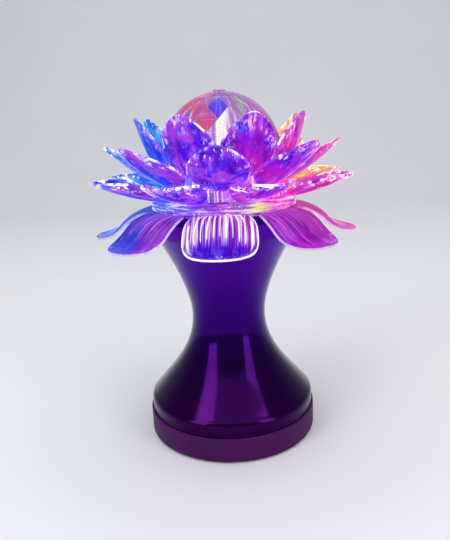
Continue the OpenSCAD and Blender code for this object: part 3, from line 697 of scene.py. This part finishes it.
# %% Drooping outline
sepal_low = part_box("collar_ring")[0].z / mm - tab_thick
sepal_root, sepal_reach, sepal_fall, sepal_lap = 50.2, 90.7, 17.6, 6
tab_half, root_half, full_half, widest = tab_wide / 2, 17.5, 22.3, 0.45
sepal_run = (sepal_reach - sepal_root) / 2
sepal_turn = 2 * math.atan(sepal_fall / 2 / sepal_run)
sepal_bend = sepal_run / math.sin(sepal_turn)


def droop(radius):
    """Height of the drooping skirt's middle at a radius, and how steep it is there."""
    far = min(max(radius - sepal_root, 0.0), 2 * sepal_run)
    if far <= sepal_run:
        a = math.asin(min(1.0, far / sepal_bend))
        return -sepal_bend * (1 - math.cos(a)), a
    a = math.asin(min(1.0, (2 * sepal_run - far) / sepal_bend))
    return -sepal_fall + sepal_bend * (1 - math.cos(a)), a


def sepal_half(q):
    """Half the width at q, which is 0 at the root, 1 at the tip and negative on the tab."""
    if q < 0:
        return tab_half + (root_half - tab_half) * smooth_step(-0.15, 0.0, q)
    if q < widest:
        return root_half + (full_half - root_half) * (1 - ((widest - q) / widest) ** 2)
    return full_half * math.sqrt(max(0.0, 1 - ((q - widest) / (1 - widest)) ** 2.2))


print("bend radius", round(sepal_bend, 1))

# %% [markdown]
# A dozen ribs run down from the root and end in points, the rim is a raised lip, and a small
# round mark sits near the tip. They are added to the upper face, and the finish reads their
# height to know where to paint highlights on them.

# %% Drooping petals
rib_waves, mark_at, mark_r = 6, 85.2, 1.5
upper_face, lower_face = 0.45, -0.5


def sepal_relief(along, v, t, s, q, inset):
    """Height of the ribs and of the round mark, and the painted highlight on the lip, each from 0 to 1.
    """
    comb = (0.5 + 0.5 * math.cos(math.tau * rib_waves * s)) ** (1.3 + 9.0 * max(0.0, q) ** 1.5)
    rib_end = 0.6 + 0.2 * s ** 2
    rib = comb * smooth_step(0.02, 0.12, t) * smooth_step(rib_end, rib_end - 0.16, q)
    rib *= smooth_step(2.8, 4.0, inset)
    mark = math.exp(-((math.hypot(along - mark_at, v) - mark_r) / 0.4) ** 2)
    lip = 0.7 * math.exp(-((inset - 2.9) / 0.4) ** 2) * smooth_step(0.1, 0.3, q)
    return rib, mark, lip


def sepal_shape(t, s, side):
    """Shape of a drooping petal, from a little inside its root to its tip."""
    along = sepal_root - sepal_lap + (sepal_reach - sepal_root + sepal_lap) * t
    q = (along - sepal_root) / (sepal_reach - sepal_root)
    half = sepal_half(q)
    v = s * half
    radius = math.hypot(along, v)
    fall, steep = droop(radius)
    inset = min(half * (1 - abs(s)), (sepal_reach - along) * 1.5)
    rib, mark, lip = sepal_relief(along, v, t, s, q, inset)
    w = lower_face
    if side > 0:
        raised_rim = smooth_step(3.2, 2.4, inset) * smooth_step(-0.3, 1.6, inset)
        w = upper_face + 0.4 * raised_rim + 0.35 * rib + 0.15 * mark
    h = sepal_low + tab_thick / 2 + fall + w * math.cos(steep)
    out = w * math.sin(steep)
    # Painted light mask: the ribs, the round mark and the lip.
    lit = max(0.95 * rib ** 1.3, 0.4 * mark, lip)
    return (along + out * along / radius, v + out * v / radius, h), lit, inset


for k in range(1, 9):
    make_petal("sepal", k, 0.0, sepal_shape, (84, 56), 45.0, sepal_low, 5.3 * k, sepal_glow)
print("drooping petals made")

# %% [markdown]
# ## Dome
# The dome is smooth outside and cut into facets inside, so it breaks up what lies behind it. Its
# wall is clear, with a faint tint that goes round the lamp and a few level painted gleams.

# %% Dome wall finish
crystal = Finish("dome_crystal", IOR=1.38, Transmission_Weight=1.0, Emission_Strength=0.4)
x, y, z = crystal.axes()
around = round_angle(crystal) + (crystal.noise(30.0) - 0.5) * 0.25
crystal.feed("Base Color", crystal.ramp(around.maths("FRACT"), [
    (0.0, (0.8, 0.9, 0.95)), (0.25, (0.97, 0.8, 0.92)), (0.5, (0.95, 0.88, 0.98)),
    (0.75, (0.88, 0.86, 0.97)), (1.0, (0.8, 0.9, 0.95))]))
# Painted highlights: thin level gleams that glow pink violet.
gleam = crystal.noise(1.0, 4.0, crystal.spot(x * 40.0, y * 40.0, z * 330.0))
crystal.feed("Emission Color", crystal.ramp(gleam, [
    (0.5, (0.0, 0.0, 0.0)), (0.6, (0.08, 0.02, 0.12)), (0.7, (0.6, 0.25, 0.65))]))
crystal.feed("Roughness", crystal.noise(70.0) * 0.05 + 0.02)
print("dome wall finish ready")

# %% [markdown]
# Each facet gets a painted reflection of one diode's colour, in fine streaks that run down from the
# pole. The streaks use the direction from the axis, so they fan out as they go down. The white
# facet in front shows only a bright sliver of painted highlight, and a finish of painted highlight
# serves the thin edges between facets.

# %% Facet finishes
def facet_finish(name, dark, bright, glare, shine, sliver=None):
    """A facet with a painted reflection in streaks of three tones, all over or only in a sliver between
    two X values.
    """
    facet = Finish(name, IOR=1.3, Transmission_Weight=0.15, Emission_Strength=shine)
    x, y, z = facet.axes()
    radius = (x * x + y * y + 1e-8) ** 0.5
    streak = facet.noise(1.0, 5.0, facet.spot(x / radius * 16.0, y / radius * 16.0, z * 60.0))
    tint = facet.mix(streak.step(0.36, 0.56), dark, bright)
    tint = facet.mix(streak.step(0.55, 0.64), tint, glare)
    if sliver:
        low, high = sliver
        beside = facet.mix(streak.step(0.45, 0.6), (0.34, 0.12, 0.44), (0.5, 0.5, 0.52))
        tint = facet.mix(x.step(low, low + 0.0004) * x.step(high, high - 0.003), beside, tint)
    facet.feed("Base Color", facet.times(tint, (0.45, 0.45, 0.45)))
    facet.feed("Emission Color", tint)
    facet.feed("Roughness", facet.noise(60.0) * 0.1 + 0.05)
    return facet


facet_tones = {
    "facet_violet": ((0.17, 0.04, 0.34), (0.33, 0.12, 0.5), (0.62, 0.4, 0.78), 0.7),
    "facet_blue": ((0.02, 0.01, 0.5), (0.07, 0.01, 0.7), (0.12, 0.08, 0.9), 0.9),
    "facet_red": ((0.3, 0.05, 0.33), (0.6, 0.05, 0.14), (0.95, 0.12, 0.06), 0.8),
    "facet_green": ((0.28, 0.09, 0.36), (0.3, 0.22, 0.32), (0.2, 0.75, 0.22), 0.8),
    "facet_white": ((0.8, 0.65, 0.9), (0.98, 0.93, 1.0), white, 0.95, (-0.0015, 0.0065)),
    "facet_pink": ((0.33, 0.07, 0.38), (0.5, 0.14, 0.44), (0.85, 0.5, 0.75), 0.7),
    "facet_edge_glint": ((0.35, 0.14, 0.55), (0.6, 0.38, 0.75), (1.0, 0.95, 1.0), 0.7),
}
dome_finishes = [crystal] + [facet_finish(name, *tones) for name, tones in facet_tones.items()]
VIOLET, BLUE, RED, GREEN, WHITE, PINK, EDGE = range(1, len(dome_finishes))
print("dome finishes", len(dome_finishes))

# %% [markdown]
# The outside of the dome is an arc with a short straight skirt, spun about the upright axis. Its
# two open loops, round the hole at the pole and round the skirt, wait for the inside.

# %% Dome wall
skirt_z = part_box("crystal_dome")[0].z / mm
dome_r, facet_r, hole_r = 40.0, 37.5, 2.5
dome_z = skirt_z + 6.5
hole_turn = math.asin(hole_r / dome_r)
bm = bmesh.new()
pole = bm.verts.new((hole_r * mm, 0, (dome_z + dome_r * math.cos(hole_turn)) * mm))
arc = bmesh.ops.spin(bm, geom=[pole], cent=(0, 0, dome_z * mm), axis=(0, 1, 0),
                     angle=math.pi / 2 - hole_turn, steps=32)["geom_last"]
skirt = bm.verts.new((dome_r * mm, 0, skirt_z * mm))
bm.edges.new((points_of(arc)[0], skirt))
bmesh.ops.spin(bm, geom=list(bm.verts) + list(bm.edges), cent=(0, 0, 0), axis=(0, 0, 1),
               angle=math.tau, steps=96, use_merge=True)
bmesh.ops.remove_doubles(bm, verts=bm.verts, dist=1e-7)
smooth_faces(bm)
open_edges = [e for e in bm.edges if len(e.link_faces) == 1]
top_loop = [e for e in open_edges if e.verts[0].co.z > dome_z * mm]
low_loop = [e for e in open_edges if e.verts[0].co.z < dome_z * mm]
print("dome wall faces", len(bm.faces))

# %% [markdown]
# The inside is a stack of twelve-sided rings, each turned half a facet from the last, bridged and
# split along the short diagonals. The last ring repeats the one above it down at the skirt.

# %% Dome inside
columns, column_angle = 12, 30
polar_angles = [math.radians(angle) for angle in (9, 25, 41, 56, 73, 90)]
levels = [(dome_z + facet_r * math.cos(a), facet_r * math.sin(a)) for a in polar_angles]
levels.append((skirt_z, facet_r))
rings = []
for j, (height, reach) in enumerate(levels):
    half_turn = column_angle / 2 if min(j, len(polar_angles) - 1) % 2 == 0 else 0
    spot = Matrix.Translation((0, 0, height * mm)) @ Matrix.Rotation(math.radians(half_turn), 4, "Z")
    ring = bmesh.ops.create_circle(bm, segments=columns, radius=reach * mm, matrix=spot)["verts"]
    rings.append([e for e in bm.edges if e.verts[0] in ring and e.verts[1] in ring])
inner_faces = []
for upper, lower in zip(rings, rings[1:]):
    inner_faces += bmesh.ops.bridge_loops(bm, edges=upper + lower)["faces"]
facets = bmesh.ops.triangulate(bm, faces=inner_faces, quad_method="SHORT_EDGE")["faces"]
bmesh.ops.bridge_loops(bm, edges=top_loop + rings[0])
bmesh.ops.bridge_loops(bm, edges=low_loop + rings[-1])
bmesh.ops.recalc_face_normals(bm, faces=bm.faces)
print("facets", len(facets))

# %% [markdown]
# A facet's colour, a painted reflection of the diodes, comes from where its middle lies: the
# column round the dome and the angle down from the pole. The two triangles of an upright rhombus
# take one colour. In front a blue rhombus stands over a white kite, with red to the left and green
# to the right.

# %% Facet colours
column_tones = (VIOLET, GREEN, PINK, VIOLET, PINK, BLUE, PINK, GREEN, VIOLET, PINK, RED, RED)
front_column, rhombus_half, band_angle = 0, 9, 17
rhombus_top, rhombus_low, kite_top, kite_low = 22, 60, 40, 80
rhombi = {}
for face in facets:
    face.smooth = False
    middle = face.calc_center_median() - Vector((0, 0, dome_z * mm))
    polar = math.degrees(middle.angle(Vector((0, 0, 1))))
    bearing = math.degrees(math.atan2(middle.x, -middle.y))
    column = round(bearing / column_angle) % columns
    off_middle = abs((bearing + column_angle / 2) % column_angle - column_angle / 2)
    if rhombus_top < polar < rhombus_low and off_middle < rhombus_half:
        face.material_index = BLUE if column == front_column else column_tones[column]
        rhombi[face] = column
    elif column == front_column and polar < kite_low:
        face.material_index = WHITE if polar > kite_top else VIOLET
    elif (column + int(polar / band_angle)) % 3 == 0:
        face.material_index = VIOLET
    else:
        face.material_index = column_tones[column]
print("rhombus halves", len(rhombi))

# %% [markdown]
# The line across each rhombus is dissolved, so that it is one face. Every facet then gets a thin
# inset rim with a painted highlight: a cut edge catches more light than the flat beside it.

# %% Facet edges
edge_width = 0.16
halving = [e for e in bm.edges if all(face in rhombi for face in e.link_faces)
           and len({rhombi[face] for face in e.link_faces}) == 1]
bmesh.ops.dissolve_edges(bm, edges=halving)
cut_faces = [face for face in bm.faces if face.material_index]
rims = bmesh.ops.inset_individual(bm, faces=cut_faces, thickness=edge_width * mm, depth=0)["faces"]
# Painted highlight on the cut edges.
for face in rims:
    face.material_index = EDGE
dome = finish_piece("dome_shell", bm, dome_finishes, "dome", ["crystal_dome"], smooth=False)
print("dome faces", len(dome.data.polygons))

# %% [markdown]
# ## Clear rings
# Clear rings stack up under the flower and clamp the petals' tabs. The column has upright lens
# ribs that show as fine lines between the front petals, and the collar has level grooves. One
# finish serves both: it paints light and dark lines, painted highlights and painted shade of the
# ribs and grooves, stretched upright or level.

# %% Ring finish
def ring_resin(name, upright, level, flash):
    """Clear resin with painted light lines, painted dark lines and painted sparkle; flash is the colour
    of one diode, right of the front.
    """
    made = Finish(name, IOR=1.3, Transmission_Weight=0.45, Emission_Strength=0.62)
    x, y, z = made.axes()
    angle = round_angle(made) + (made.noise(45.0) - 0.5) * 0.1
    tint = made.ramp(angle.maths("FRACT"), [
        (0.0, (0.3, 0.7, 0.3)), (0.2, (0.05, 0.4, 0.9)), (0.36, (0.08, 0.2, 0.95)),
        (0.47, (0.35, 0.1, 0.8)), (0.53, (0.6, 0.15, 0.75)), (0.575, flash),
        (0.62, (0.85, 0.15, 0.6)), (0.8, (0.85, 0.08, 0.5)), (0.9, (0.9, 0.5, 0.12)),
        (1.0, (0.3, 0.7, 0.3))])
    lines = made.noise(1.0, 3.0, made.spot(x * upright, y * upright, z * level))
    # Painted shade: dark lines along the ribs and grooves.
    dark = made.mix(lines.step(0.5, 0.38) * 0.85, tint, (0.1, 0.01, 0.3))
    # Painted highlights: small bright specks in patches, and light lines along the ribs and grooves.
    sparkle_specks = made.noise(420.0, 2.0).step(0.6, 0.66) * made.noise(60.0).step(0.42, 0.56)
    light = (lines.step(0.55, 0.64) + sparkle_specks).clamp()
    made.feed("Base Color", made.times(dark, (0.6, 0.6, 0.6)))
    made.feed("Emission Color", made.mix(light, dark, (1.0, 0.93, 1.0)))
    made.feed("Roughness", made.noise(60.0) * 0.1 + 0.04)
    return made


column_resin = ring_resin("column_resin", 620.0, 0.0, (0.7, 0.15, 0.7))
collar_resin = ring_resin("collar_resin", 75.0, 900.0, (0.6, 0.8, 0.15))
print("ring finishes ready")

# %% [markdown]
# The rings are turned like the pedestal. A cosine round the ring then draws the points of the
# outer wall in a little, which leaves the lens ribs standing.

# %% Rings
ring_bore, ring_chamfer, groove = 32.5, 0.3, 0.5


def clear_ring(name, resin, ribs=0, depth=0.0, grooves=()):
    """Turn a ring with level grooves, and press upright lens ribs into its outer wall."""
    corner_low, corner_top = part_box(name)
    low, top, outer = corner_low.z / mm, corner_top.z / mm, corner_top.x / mm
    outline = [(ring_bore, low), (outer - ring_chamfer, low), (outer, low + ring_chamfer)]
    for share in grooves:
        middle = low + (top - low) * share
        outline += [(outer, middle - groove), (outer - groove, middle), (outer, middle + groove)]
    outline += [(outer, top - ring_chamfer), (outer - ring_chamfer, top), (ring_bore, top)]
    bm = turned(outline, ribs * 4 or 128)
    for v in bm.verts:
        radius = math.hypot(v.co.x, v.co.y)
        if ribs and radius > (outer - 2) * mm:
            dip = 0.5 - 0.5 * math.cos(math.atan2(v.co.y, v.co.x) * ribs)
            v.co.x *= 1 - depth * mm * dip / radius
            v.co.y *= 1 - depth * mm * dip / radius
    keep_edges(bm, 50)
    finish_piece(f"{name}_lens", bm, [resin], "base", [name])


clear_ring("collar_ring", collar_resin, grooves=(0.3, 0.65))
clear_ring("column_ring", column_resin, ribs=60, depth=0.5)
clear_ring("neck_ring", column_resin, ribs=60, depth=0.5)
print("rings made")

# %% [markdown]
# ## Inner and small pieces
# The CAD nodes of the drive, the boards, the switch and the fasteners have the right shapes.
# They only need finishes: moulded plastic with grain, turned metal with fine lines, and circuit
# boards with copper paths.

# %% Finishes of the small pieces
def moulded(name, colour, rough):
    """Moulded plastic: fine grain in the tone, the gloss and the surface."""
    made = Finish(name)
    grain = made.noise(700.0, 2.0)
    cloud = made.noise(40.0, 3.0)
    dark = tuple(c * 0.8 for c in colour)
    light = tuple(min(1.0, c * 1.15 + 0.004) for c in colour)
    made.feed("Base Color", made.ramp(cloud * 0.5 + grain * 0.5, [(0.3, dark), (0.7, light)]))
    made.feed("Roughness", grain * 0.15 + rough)
    made.bump(grain, 0.1, 0.0003)
    return made


def turned_metal(name, colour, rough):
    """Bright metal with fine turning lines."""
    made = Finish(name, Metallic=1.0)
    lines = made.node("ShaderNodeTexWave", {"wave_type": "BANDS", "bands_direction": "Z"}, {
        "Vector": made.place(), "Scale": 900.0, "Distortion": 1.5}, "Fac")
    made.feed("Base Color", made.mix(lines * 0.3, colour, tuple(c * 0.7 for c in colour)))
    made.feed("Roughness", made.noise(200.0) * 0.15 + rough)
    made.bump(lines, 0.06, 0.0002)
    return made


def circuit(name, mask, copper):
    """A circuit board: solder mask with slightly raised copper paths."""
    made = Finish(name)
    paths = made.node("ShaderNodeTexBrick", {"offset": 0.5}, {
        "Vector": made.place(), "Color1": (0, 0, 0, 1), "Color2": (0, 0, 0, 1),
        "Mortar": (1, 1, 1, 1), "Scale": 160.0, "Mortar Size": 0.03}, "Fac")
    made.feed("Base Color", made.mix(paths * 0.7, mask, copper))
    made.feed("Roughness", made.noise(120.0) * 0.15 + 0.3)
    made.bump(paths, 0.2, 0.0002)
    return made


cap_resin = moulded("cap_resin", (0.8, 0.45, 0.8), 0.15)
dark_mould = moulded("dark_mould", (0.03, 0.03, 0.034), 0.4)
white_mould = moulded("white_mould", (0.78, 0.78, 0.76), 0.4)
pad_rubber = moulded("pad_rubber", (0.02, 0.02, 0.02), 0.75)
rocker_gloss = moulded("rocker_gloss", (0.035, 0.035, 0.04), 0.25)
bright_steel = turned_metal("bright_steel", (0.62, 0.63, 0.65), 0.22)
turned_brass = turned_metal("turned_brass", (0.75, 0.55, 0.22), 0.25)
lamp_circuit = circuit("lamp_circuit", (0.82, 0.83, 0.84), (0.7, 0.62, 0.5))
driver_circuit = circuit("driver_circuit", (0.02, 0.17, 0.07), (0.28, 0.35, 0.1))
print("small finishes ready")

# %% [markdown]
# The wires run side by side, so their colour changes in steps across the loom. The diodes glow
# in one colour each, in steps round the lamp.

# %% Wires and diodes
loom_half = 0.004
wire_skin = Finish("wire_skin")
_, y, _ = wire_skin.axes()
across_loom = (y + loom_half) / (2 * loom_half) + wire_skin.noise(300.0) * 0.02
wire_skin.feed("Base Color", wire_skin.ramp(across_loom, [
    (0.0, (0.02, 0.02, 0.02)), (0.3, (0.6, 0.02, 0.02)), (0.6, (0.75, 0.6, 0.05)),
    (0.8, (0.02, 0.08, 0.5))], "CONSTANT"))
wire_skin.feed("Roughness", wire_skin.noise(400.0) * 0.2 + 0.35)
diode_glow = Finish("diode_glow", Transmission_Weight=0.4, Emission_Strength=2.5)
lens = diode_glow.ramp(round_angle(diode_glow), [
    (0.0, (0.2, 0.9, 0.3)), (0.17, (0.1, 0.3, 1.0)), (0.33, (0.1, 0.1, 1.0)), (0.5, (0.6, 0.2, 1.0)),
    (0.58, (1.0, 0.2, 0.3)), (0.67, (1.0, 0.1, 0.8)), (0.83, (1.0, 0.3, 0.2))], "CONSTANT")
diode_glow.feed("Base Color", lens)
diode_glow.feed("Emission Color", diode_glow.mix(diode_glow.noise(300.0) * 0.3, lens, white))
print("wire and diode finishes ready")

# %% [markdown]
# ## Cap
# The cap on the dome's pole is a small button with a rounded rim, a groove and a stem below. It
# is turned like the pedestal, and stays in the box of its CAD node.

# %% Cap
corner_low, corner_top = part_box("dome_cap")
stem_z, cap_top, cap_r = corner_low.z / mm, corner_top.z / mm, corner_top.x / mm
stem = [(0.3, stem_z), (2.1, stem_z), (2.4, stem_z + 0.3), (2.4, cap_top - 1.4)]
cap_rim = [(cap_r - 0.25, cap_top - 1.4), (cap_r, cap_top - 1.15), (cap_r, cap_top - 0.5),
           (cap_r - 0.2, cap_top - 0.15), (cap_r - 0.6, cap_top)]
cap_groove = [(3.0, cap_top), (2.7, cap_top - 0.35), (1.9, cap_top - 0.35), (1.5, cap_top - 0.1),
              (0.6, cap_top), (0.3, cap_top - 0.2)]
bm = turned(stem + cap_rim + cap_groove, 64)
keep_edges(bm, 50)
cap = finish_piece("dome_button", bm, [cap_resin], "dome", ["dome_cap"])
print("cap faces", len(cap.data.polygons))

# %% [markdown]
# ## Dressed CAD nodes
# The other CAD nodes keep their meshes, and each takes its finish here.

# %% Give the CAD nodes their finishes
dressed = {
    "foot_disc": foot_satin, "bottom_cover": dark_mould, "rubber_pads": pad_rubber,
    "small_screws": bright_steel, "deck_plate": plating, "shaft_bush": turned_brass,
    "motor_bracket": dark_mould, "gearbox_case": turned_brass, "motor_can": bright_steel,
    "lamp_board": lamp_circuit, "diode_ring": diode_glow, "clamp_ring": column_resin,
    "stack_screws": bright_steel, "driver_board": driver_circuit, "wire_loom": wire_skin,
    "dc_socket": dark_mould, "switch_body": dark_mould, "switch_rocker": rocker_gloss,
    "motor_pinion": turned_brass, "drive_gear": white_mould, "drive_shaft": bright_steel,
    "dome_plate": column_resin,
}
for name, finish in dressed.items():
    nodes[name].data.materials.clear()
    nodes[name].data.materials.append(finish.material)
print("dressed", len(dressed))

# %% [markdown]
# ## Switch marks
# The switch has a bar for on and a ring for off, moulded in white on the two wings of the rocker,
# so they ride on the rocker. They are made at the origin and then carried to the wings, which
# slope away from the hinge on both sides.

# %% Switch marks
rear_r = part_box("foot_disc")[1].x / mm
rocker_low, rocker_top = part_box("switch_rocker")
rear_z = (rocker_low.z + rocker_top.z) / 2 / mm
rear_angle, rocker_angle, hinge_depth = math.radians(17), math.radians(10), 1.9
wing_middle, wing_out, wing_slope = 2.6, 2.9, math.atan2(1.0, 5.2)
hinge = (Matrix.Rotation(rear_angle, 4, "Z")
         @ Matrix.Translation((0, (rear_r - hinge_depth) * mm, rear_z * mm))
         @ Matrix.Rotation(rocker_angle, 4, "Z"))


def on_wing(side):
    """Place on a wing of the rocker, with Y out of the surface."""
    return (hinge @ Matrix.Translation((side * wing_middle * mm, wing_out * mm, 0))
            @ Matrix.Rotation(side * wing_slope, 4, "Z"))


bm = bmesh.new()
bar = bmesh.ops.create_cube(bm, size=1.0)["verts"]
bmesh.ops.scale(bm, verts=bar, vec=(0.5 * mm, 0.24 * mm, 2.6 * mm))
bmesh.ops.bevel(bm, geom=list(bm.edges), offset=0.08 * mm, offset_type="OFFSET", affect="EDGES",
                segments=2, profile=0.5, material=-1)
bmesh.ops.transform(bm, verts=list(bm.verts), matrix=on_wing(1))
finish_piece("switch_on_mark", bm, [white_mould], "rocker", smooth=False)
bm = turned([(0.8, -0.12), (1.15, -0.12), (1.2, -0.06), (1.2, 0.08), (1.15, 0.12), (0.8, 0.12),
             (0.75, 0.08), (0.75, -0.06)], 32)
upright = Matrix.Rotation(math.radians(90), 4, "X")
bmesh.ops.transform(bm, verts=list(bm.verts), matrix=on_wing(-1) @ upright)
finish_piece("switch_off_mark", bm, [white_mould], "rocker", smooth=False)
print("switch marks made")

# %% [markdown]
# ## Socket pin
# The pin of the power socket is a bright metal rod with a round nose. It is turned upright, laid
# on its side and carried to the bottom of the socket, as far from the middle as the switch is on
# the other side.

# %% Socket pin
pin_depth = 9.8
bm = turned([(0.0, 0.0), (1.04, 0.0), (1.04, 7.4), (0.95, 7.8), (0.7, 8.1), (0.35, 8.25), (0.0, 8.3)], 32)
in_socket = (Matrix.Rotation(-rear_angle, 4, "Z")
             @ Matrix.Translation((0, (rear_r - pin_depth) * mm, rear_z * mm))
             @ Matrix.Rotation(math.radians(-90), 4, "X"))
bmesh.ops.transform(bm, verts=list(bm.verts), matrix=in_socket)
keep_edges(bm, 40)
finish_piece("socket_pin", bm, [bright_steel], "base")
print("socket pin made")

# %% End
print("scene built")
